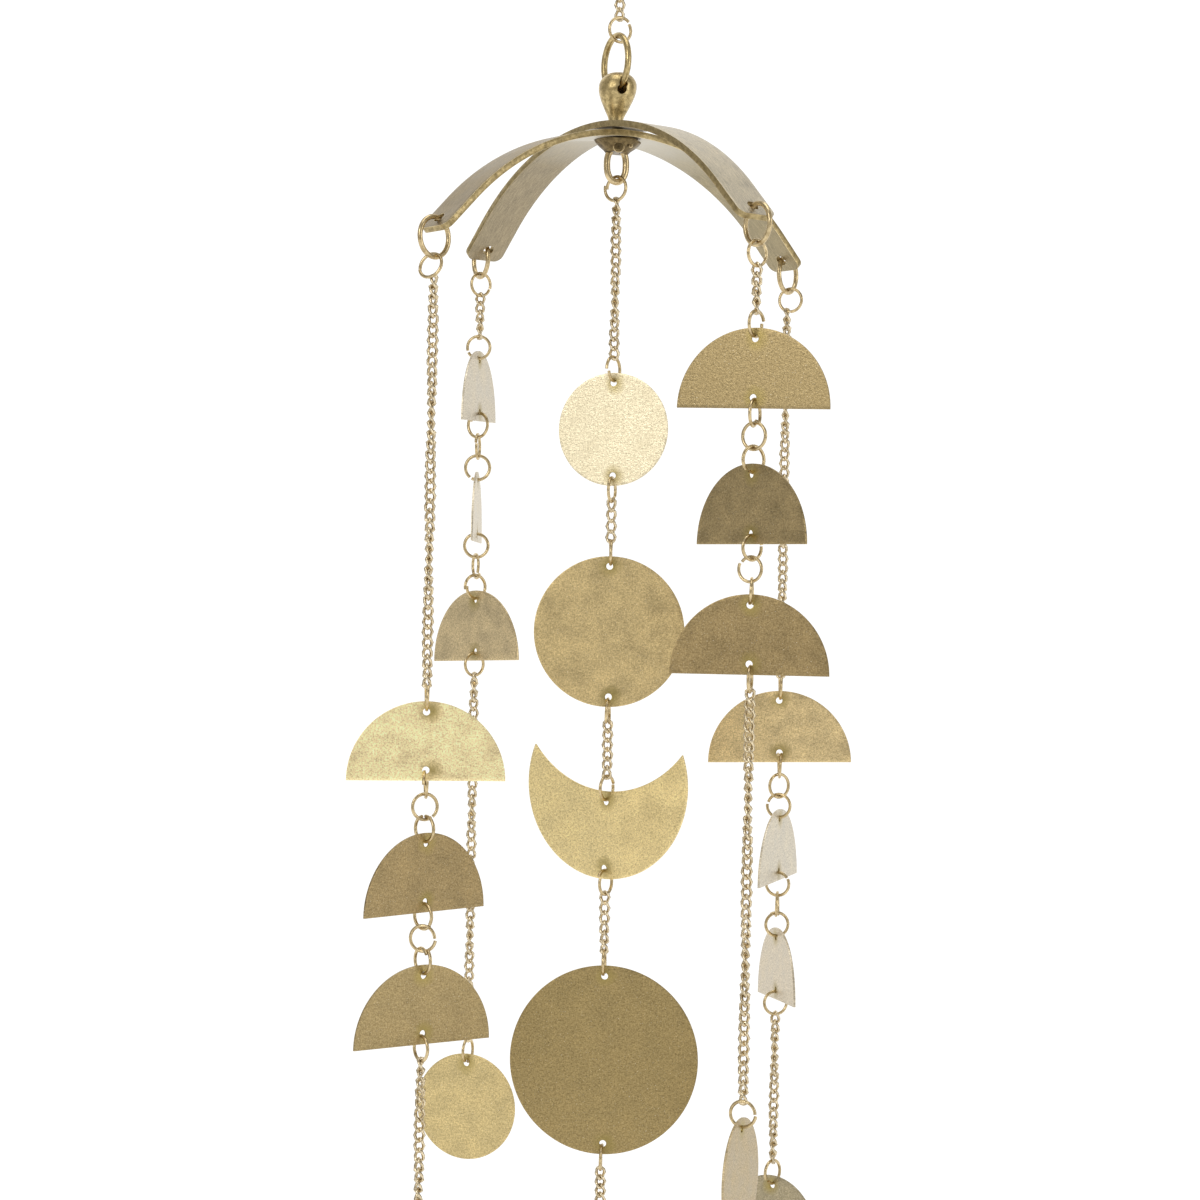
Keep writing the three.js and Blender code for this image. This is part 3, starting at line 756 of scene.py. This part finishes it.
def archAt(bar, along, level):
    # a circular bend with straight ends; "along" is counted from the crown
    limit = math.radians(bar["bend"])
    angle = min(limit, max(-limit, along / bars["radius"]))
    straight = along - angle * bars["radius"]
    x = (bars["radius"] + level) * math.sin(angle) + straight * math.cos(angle)
    z = bars["radius"] * (math.cos(angle) - 1) + level * math.cos(angle) - straight * math.sin(angle)
    return x, z


def alongFor(bar, out):
    limit = math.radians(bar["bend"])
    return bars["radius"] * limit + (out - bars["radius"] * math.sin(limit)) / math.cos(limit)


def barHole(bar, end):
    # the middle of the hole in one end
    x, z = archAt(bar, end["side"] * alongFor(bar, end["out"]), 0)
    spot = Vector((x + bar["offCentre"], end["across"], bar["crown"] + z))
    return Matrix.Rotation(math.radians(bar["turn"]), 3, "Z") @ spot


def makeBar(name, node, bar, materials):
    ends = [end["side"] * alongFor(bar, end["out"]) for end in (bar["near"], bar["far"])]
    first, last = ends[0] - bars["endPast"], ends[1] + bars["endPast"]
    middle = (first + last) / 2
    bpy.ops.object.select_all(action="DESELECT")
    bpy.ops.mesh.primitive_grid_add(x_subdivisions=140, y_subdivisions=10, size=1)
    strip = bpy.context.object
    strip.name = name
    strip.scale = ((last - first + 4) * mm, (bars["width"] + 4) * mm, 1)
    strip.location = (middle * mm, 0, 0)
    settle(strip)
    applyModifier(strip, "SOLIDIFY", thickness=bars["thickness"] * mm, offset=0)
    # the blank with rounded corners
    bpy.ops.object.select_all(action="DESELECT")
    bpy.ops.mesh.primitive_cube_add(size=1)
    blank = bpy.context.object
    blank.scale = ((last - first) * mm, bars["width"] * mm, 8 * mm)
    blank.location = (middle * mm, 0, 0)
    settle(blank)
    chooseEdges(blank, lambda a, b: abs(a.x - b.x) < 1e-6 and abs(a.y - b.y) < 1e-6)
    bpy.ops.mesh.bevel(offset=bars["corner"] * mm, segments=8, profile=0.5, affect="EDGES")
    bpy.ops.object.mode_set(mode="OBJECT")
    cut(strip, blank, "INTERSECT")
    for spot, end in zip(ends, (bar["near"], bar["far"])):
        place = Matrix.Translation((spot * mm, end["across"] * mm, 0))
        cut(strip, rod("barDrill", bars["holeR"], 8, place, 32))
    cut(strip, rod("hubDrill", 2.2, 8, Matrix.Translation((-bar["offCentre"] * mm, 0, 0)), 32))
    applyModifier(strip, "BEVEL", width=0.35 * mm, segments=2, limit_method="ANGLE",
                  angle_limit=math.radians(50))
    layer = strip.data.uv_layers.new(name="sheetMap")
    for loop in strip.data.loops:
        spot = strip.data.vertices[loop.vertex_index].co
        layer.data[loop.index].uv = (0.5 + spot.x / mm / 100, 0.5 + spot.y / mm / 100)
    for polygon in strip.data.polygons:
        # the top, the underside, the sheared edge, and the rounded corner between them
        lift = polygon.normal.z
        if abs(lift) > 0.97:
            polygon.material_index = 0 if lift > 0 else 1
        else:
            polygon.material_index = 2 if abs(lift) < 0.2 else 3
    chance = random.Random(len(name))
    waves = [(chance.uniform(0.08, 0.25), chance.uniform(0, 6.28)) for _ in range(3)]
    for vertex in strip.data.vertices:
        along, across, level = (value / mm for value in vertex.co)
        # the sheared edges wander a little
        across *= 1 - 0.008 * (1 + sum(math.sin(rate * along + phase) for rate, phase in waves) / 3)
        x, z = archAt(bar, along, level)
        vertex.co = Vector((x, across, z)) * mm
    pickOnly(strip)
    bpy.ops.object.shade_smooth_by_angle(angle=math.radians(30))
    place = standAt(0, 0, bar["crown"], bar["turn"])
    strip.data.transform(place @ Matrix.Translation((bar["offCentre"] * mm, 0, 0)))
    # the rounded corners take the paler edge brass, partly painted highlight
    for material in (*materials, barEdgeBrass, edgeHighlightBrass):
        strip.data.materials.append(material)
    placeFor(strip, node)


makeHubRings()
makeFinial()
makeCap()
for level in ("upper", "lower"):
    bar = bars[level]
    faces = [brushedBrass(level + "BarTop", *bar["topBrass"]),
             brushedBrass(level + "BarUnder", *bar["underBrass"], bar["offCentre"])]
    makeBar(level + "Bar", level + "_bar", bar, faces)
print("hub ready")


# from the middle of a plate's hole to the middle of the ring through it
holeRest = 4.7


def ringOver(holeZ, plateYaw, **extra):
    return {"z": holeZ + holeRest, "yaw": plateYaw + 90, **extra}


def ringUnder(holeZ, plateYaw):
    return {"z": holeZ - holeRest, "yaw": plateYaw + 90}

# the crescent's top is the height of the middle of its outer edge
# each plate's colour is partly painted light: besides the plate's own tone, it holds how bright the plate looks
# as it is turned to the light, so plates of one brass differ; times the plate gain, some go above 1, brighter
# than any real metal
centre = {
    "firstRing": {"z": -86.35, "yaw": -36, "shift": -0.3, "model": "lapped", "seam": 170},
    "plates": [
        {"name": "smallDisc", "node": "centre_small_disc", "shape": "small", "top": -148.4, "yaw": -16.0,
         "tilt": -0.4, "colour": (0.77, 0.68, 0.475), "contrast": 0.4, "over": {"yaw": 60},
         "turn": {"flatZ": -107.7, "halfTurn": 33}},
        {"name": "mediumDisc", "node": "centre_medium_disc", "shape": "medium", "top": -210.2, "yaw": -3.0,
         "tilt": -0.4, "shift": -0.3, "colour": (0.64, 0.496, 0.246), "contrast": 0.6,
         "turn": {"flatZ": -201.4, "halfTurn": 43}},
        {"name": "crescentMoon", "node": "centre_crescent", "shape": "crescent", "top": -287.2, "yaw": -33.0,
         "tilt": 1.2, "colour": (0.84, 0.68, 0.342), "contrast": 0.5, "scratches": 0.5,
         "turn": {"flatZ": -273.8, "halfTurn": 45}},
        {"name": "largeDisc", "node": "centre_large_disc", "shape": "large", "top": -348.1, "yaw": -4.0,
         "tilt": -0.3, "shift": 0.3, "colour": (0.386, 0.288, 0.127), "contrast": 0.6,
         "turn": {"flatZ": -327.7, "halfTurn": 40}},
        {"name": "lowDisc", "node": "centre_low_disc", "shape": "end", "top": -445.0, "yaw": 25.0,
         "tilt": 0.0, "colour": (0.62, 0.48, 0.22), "contrast": 0.6,
         "turn": {"flatZ": -422.0, "halfTurn": 45}},
    ],
}

def hangTop():
    upper = {"z": -16.05, "yaw": 90}
    lower = {"z": -32.85, "yaw": 26, "model": "stepped", "seam": 40, "shift": 0.3}
    hangChain("suspensionChain", "suspension_chain", 0, 0, upper, lower, {"flatZ": -24, "halfTurn": 24})

def hangCentre():
    upper = centre["firstRing"]
    for step, plate in enumerate(centre["plates"], 1):
        holes = plateHoles[plate["shape"]]
        lower = ringOver(plate["top"] + holes[0], plate["yaw"], **plate.get("over", {}))
        hangChain(f"centreChain{step}", f"centre_chain_{step}", 0, 0, upper, lower, plate["turn"])
        upper = ringUnder(plate["top"] + holes[-1], plate["yaw"])
    for seed, plate in enumerate(centre["plates"]):
        shape = plate["shape"]
        material = plateBrass(plate["name"] + "Brass", plate["colour"], plateHoles[shape], seed + 1,
                              plate["contrast"], plate.get("scratches", 0.15))
        place = standAt(plate.get("shift", 0), 0, plate["top"], plate["yaw"], plate["tilt"])
        hangPlate(plate["name"], plate["node"], models[shape], place, material, seed)

hangTop()
hangCentre()
print("centre strand hung")


# the four outer strands, named by the arm that carries each
hanger = {"radius": 6.45, "wire": 1.7}
# the plates' colours below are partly painted light: each holds the plate's own tone and how bright it looks as
# it is turned to the light, so plates of one brass differ; the brightest half-moon's colour, times the plate
# gain, goes above 1, brighter than any real metal
strands = [
    {
        "name": "frontLeft", "node": "front_left", "bar": "lower", "end": "near",
        "hangerYaw": 49, "hangerDrop": 5.75,
        "tops": [-258.2, -300.2, -342.3], "discTop": -428.8, "yaws": [4, 45.5, 36], "tilts": [-0.3, -0.4, 0],
        "discYaw": 20, "first": {"yaw": 149, "tip": 18, "shift": -1.0}, "midRings": [{"yaw": 22}, {"yaw": -14}],
        "upper": {"flatZ": -144.3, "halfTurn": 46.4}, "lower": {"flatZ": -397.1, "halfTurn": 47},
        "tonesWithLight": [(1.04, 0.85, 0.475), (0.39, 0.29, 0.142), (0.39, 0.296, 0.144), (0.62, 0.48, 0.22)],
        "shifts": [0, 0.4, 0.4, 0], "smudges": [1.6, 0.4, 0.4],
    },
    {
        "name": "backRight", "node": "back_right", "bar": "lower", "end": "far",
        "hangerYaw": 58, "hangerDrop": 5.1,
        "tops": [-256.3, -298.4, -340.6], "discTop": -428.8, "yaws": [-4, 71, 100.7],
        "tilts": [-1.2, -0.7, 2.5],
        "discYaw": 140, "first": {"yaw": 160, "shift": 1.2}, "midRings": [{}, {}],
        "upper": {"flatZ": -174.3, "halfTurn": 35.5}, "lower": {"flatZ": -401.2, "halfTurn": 34.7},
        "tonesWithLight": [(0.74, 0.58, 0.307), (0.655, 0.594, 0.473), (0.623, 0.546, 0.414), (0.41, 0.35, 0.228)],
        "shifts": [-0.55, 0, 0, 0],
    },
    {
        "name": "backLeft", "node": "back_left", "bar": "upper", "end": "far",
        "hangerYaw": 116, "hangerDrop": 3.2,
        "tops": [-135.6, -179.3, -222.3], "discTop": -390.0, "yaws": [79, 89, 129], "tilts": [-2.5, 0, 2.0],
        "discYaw": -20, "first": {"yaw": 218, "shift": 0.1},
        "midRings": [{"firstYaw": 141}, {}], "sways": [-0.8, 0, 0],
        "upper": {"flatZ": -117.1, "halfTurn": 24}, "lower": {"flatZ": -313.7, "halfTurn": 22.7},
        "tonesWithLight": [(0.62, 0.554, 0.43), (0.66, 0.59, 0.456), (0.65, 0.52, 0.30), (0.63, 0.50, 0.243)],
        "shifts": [0, 0, 0, -0.4], "over": {"yaw": 180, "shift": -0.3},
    },
    {
        "name": "frontRight", "node": "front_right", "bar": "upper", "end": "near",
        "hangerYaw": 123, "hangerDrop": 5.4,
        "tops": [-138.6, -181.3, -222.4], "discTop": -387.2, "yaws": [-22, -51, -12], "tilts": [1.3, 0.3, 0],
        "discYaw": 70, "first": {"yaw": 222, "shift": 0.1},
        "midRings": [{}, {"shift": -0.5, "lastYaw": 88}],
        "upper": {"flatZ": -119.6, "halfTurn": 22}, "lower": {"flatZ": -311.8, "halfTurn": 50.4},
        "tonesWithLight": [(0.37, 0.28, 0.137), (0.396, 0.30, 0.149), (0.349, 0.256, 0.122), (0.49, 0.395, 0.24)],
        "shifts": [0, -0.5, -0.4, -0.5], "over": {"yaw": 55, "model": "stepped", "seam": 10},
    },
]


def hangStrand(strand, seed):
    name, node = strand["name"], strand["node"]
    bar = bars[strand["bar"]]
    end = bar[strand["end"]]
    hole = barHole(bar, end)
    heading = math.radians(strand["hangerYaw"])
    reach = end["side"] * math.sqrt(hanger["radius"] ** 2 - strand["hangerDrop"] ** 2)
    x = hole.x + reach * math.cos(heading)
    y = hole.y + reach * math.sin(heading)
    hangerZ = hole.z - strand["hangerDrop"]
    ring = wholeRing(name + "Hanger", hanger["radius"], hanger["wire"] / 2, 48)
    ring.data.transform(standAt(x, y, hangerZ, strand["hangerYaw"]))
    finishPiece(ring, wireBrass, f"{node}_hanger")

    firstZ = hangerZ - hanger["radius"] + (hanger["wire"] + jumpRing["wire"]) / 2 - jumpRing["radius"]
    tops, yaws = strand["tops"], strand["yaws"]
    upperHole, lowerHole = plateHoles["halfMoon"]
    endHoles = plateHoles["end"]
    hangChain(name + "UpperChain", f"{node}_upper_chain", x, y, {"z": firstZ, **strand["first"]},
              ringOver(tops[0] + upperHole, yaws[0], **strand.get("over", {})), strand["upper"])
    hangChain(name + "LowerChain", f"{node}_lower_chain", x, y, ringUnder(tops[2] + lowerHole, yaws[2]),
              ringOver(strand["discTop"] + endHoles[0], strand["discYaw"]), strand["lower"])
    for step in range(3):
        # the plate's colour carries painted light as well as its own tone
        material = plateBrass(f"{name}Brass{step + 1}", strand["tonesWithLight"][step], plateHoles["halfMoon"],
                              seed + step, smudge=strand.get("smudges", [0.4] * 3)[step])
        place = standAt(x + strand["shifts"][step], y, tops[step], yaws[step], strand["tilts"][step])
        place = place @ Matrix.Translation((strand.get("sways", [0, 0, 0])[step] * mm, 0, 0))
        hangPlate(f"{name}HalfMoon{step + 1}", f"{node}_half_moon_{step + 1}", models["halfMoon"], place,
                  material, seed + step)
        if step < 2:
            hangTrio(f"{name}RingSet{step + 1}", f"{node}_ring_set_{step + 1}", x, y, tops[step] + lowerHole,
                     tops[step + 1] + upperHole, yaws[step], yaws[step + 1], strand["midRings"][step])
    material = plateBrass(name + "DiscBrass", strand["tonesWithLight"][3], endHoles, seed + 5)
    hangPlate(name + "EndDisc", f"{node}_end_disc", models["end"],
              standAt(x + strand["shifts"][3], y, strand["discTop"], strand["discYaw"]), material, seed + 5)


def hangTrio(name, node, x, y, upperHole, lowerHole, upperYaw, lowerYaw, middle):
    # three linked rings; the wider the plates hang apart, the larger the rings
    radius = (upperHole - lowerHole + 2 * (jumpRing["wire"] - jumpRing["play"])) / 6
    high, low = upperHole - jumpRing["play"] - radius, lowerHole + jumpRing["play"] + radius
    midYaw = middle.get("yaw", (upperYaw + lowerYaw) / 2)
    rings = [
        placeRing(x, y, high, middle.get("firstYaw", upperYaw + 90), radius=radius),
        placeRing(x + middle.get("shift", 0), y, (high + low) / 2, midYaw, radius=radius),
        placeRing(x, y, low, middle.get("lastYaw", lowerYaw + 90), radius=radius),
    ]
    finishPiece(joinAs(name, rings), wireBrass, node)


for order, strand in enumerate(strands):
    hangStrand(strand, 10 + 10 * order)
print("outer strands hung")

for model in [*ringModels.values(), linkModel, *models.values()]:
    bpy.data.objects.remove(model)
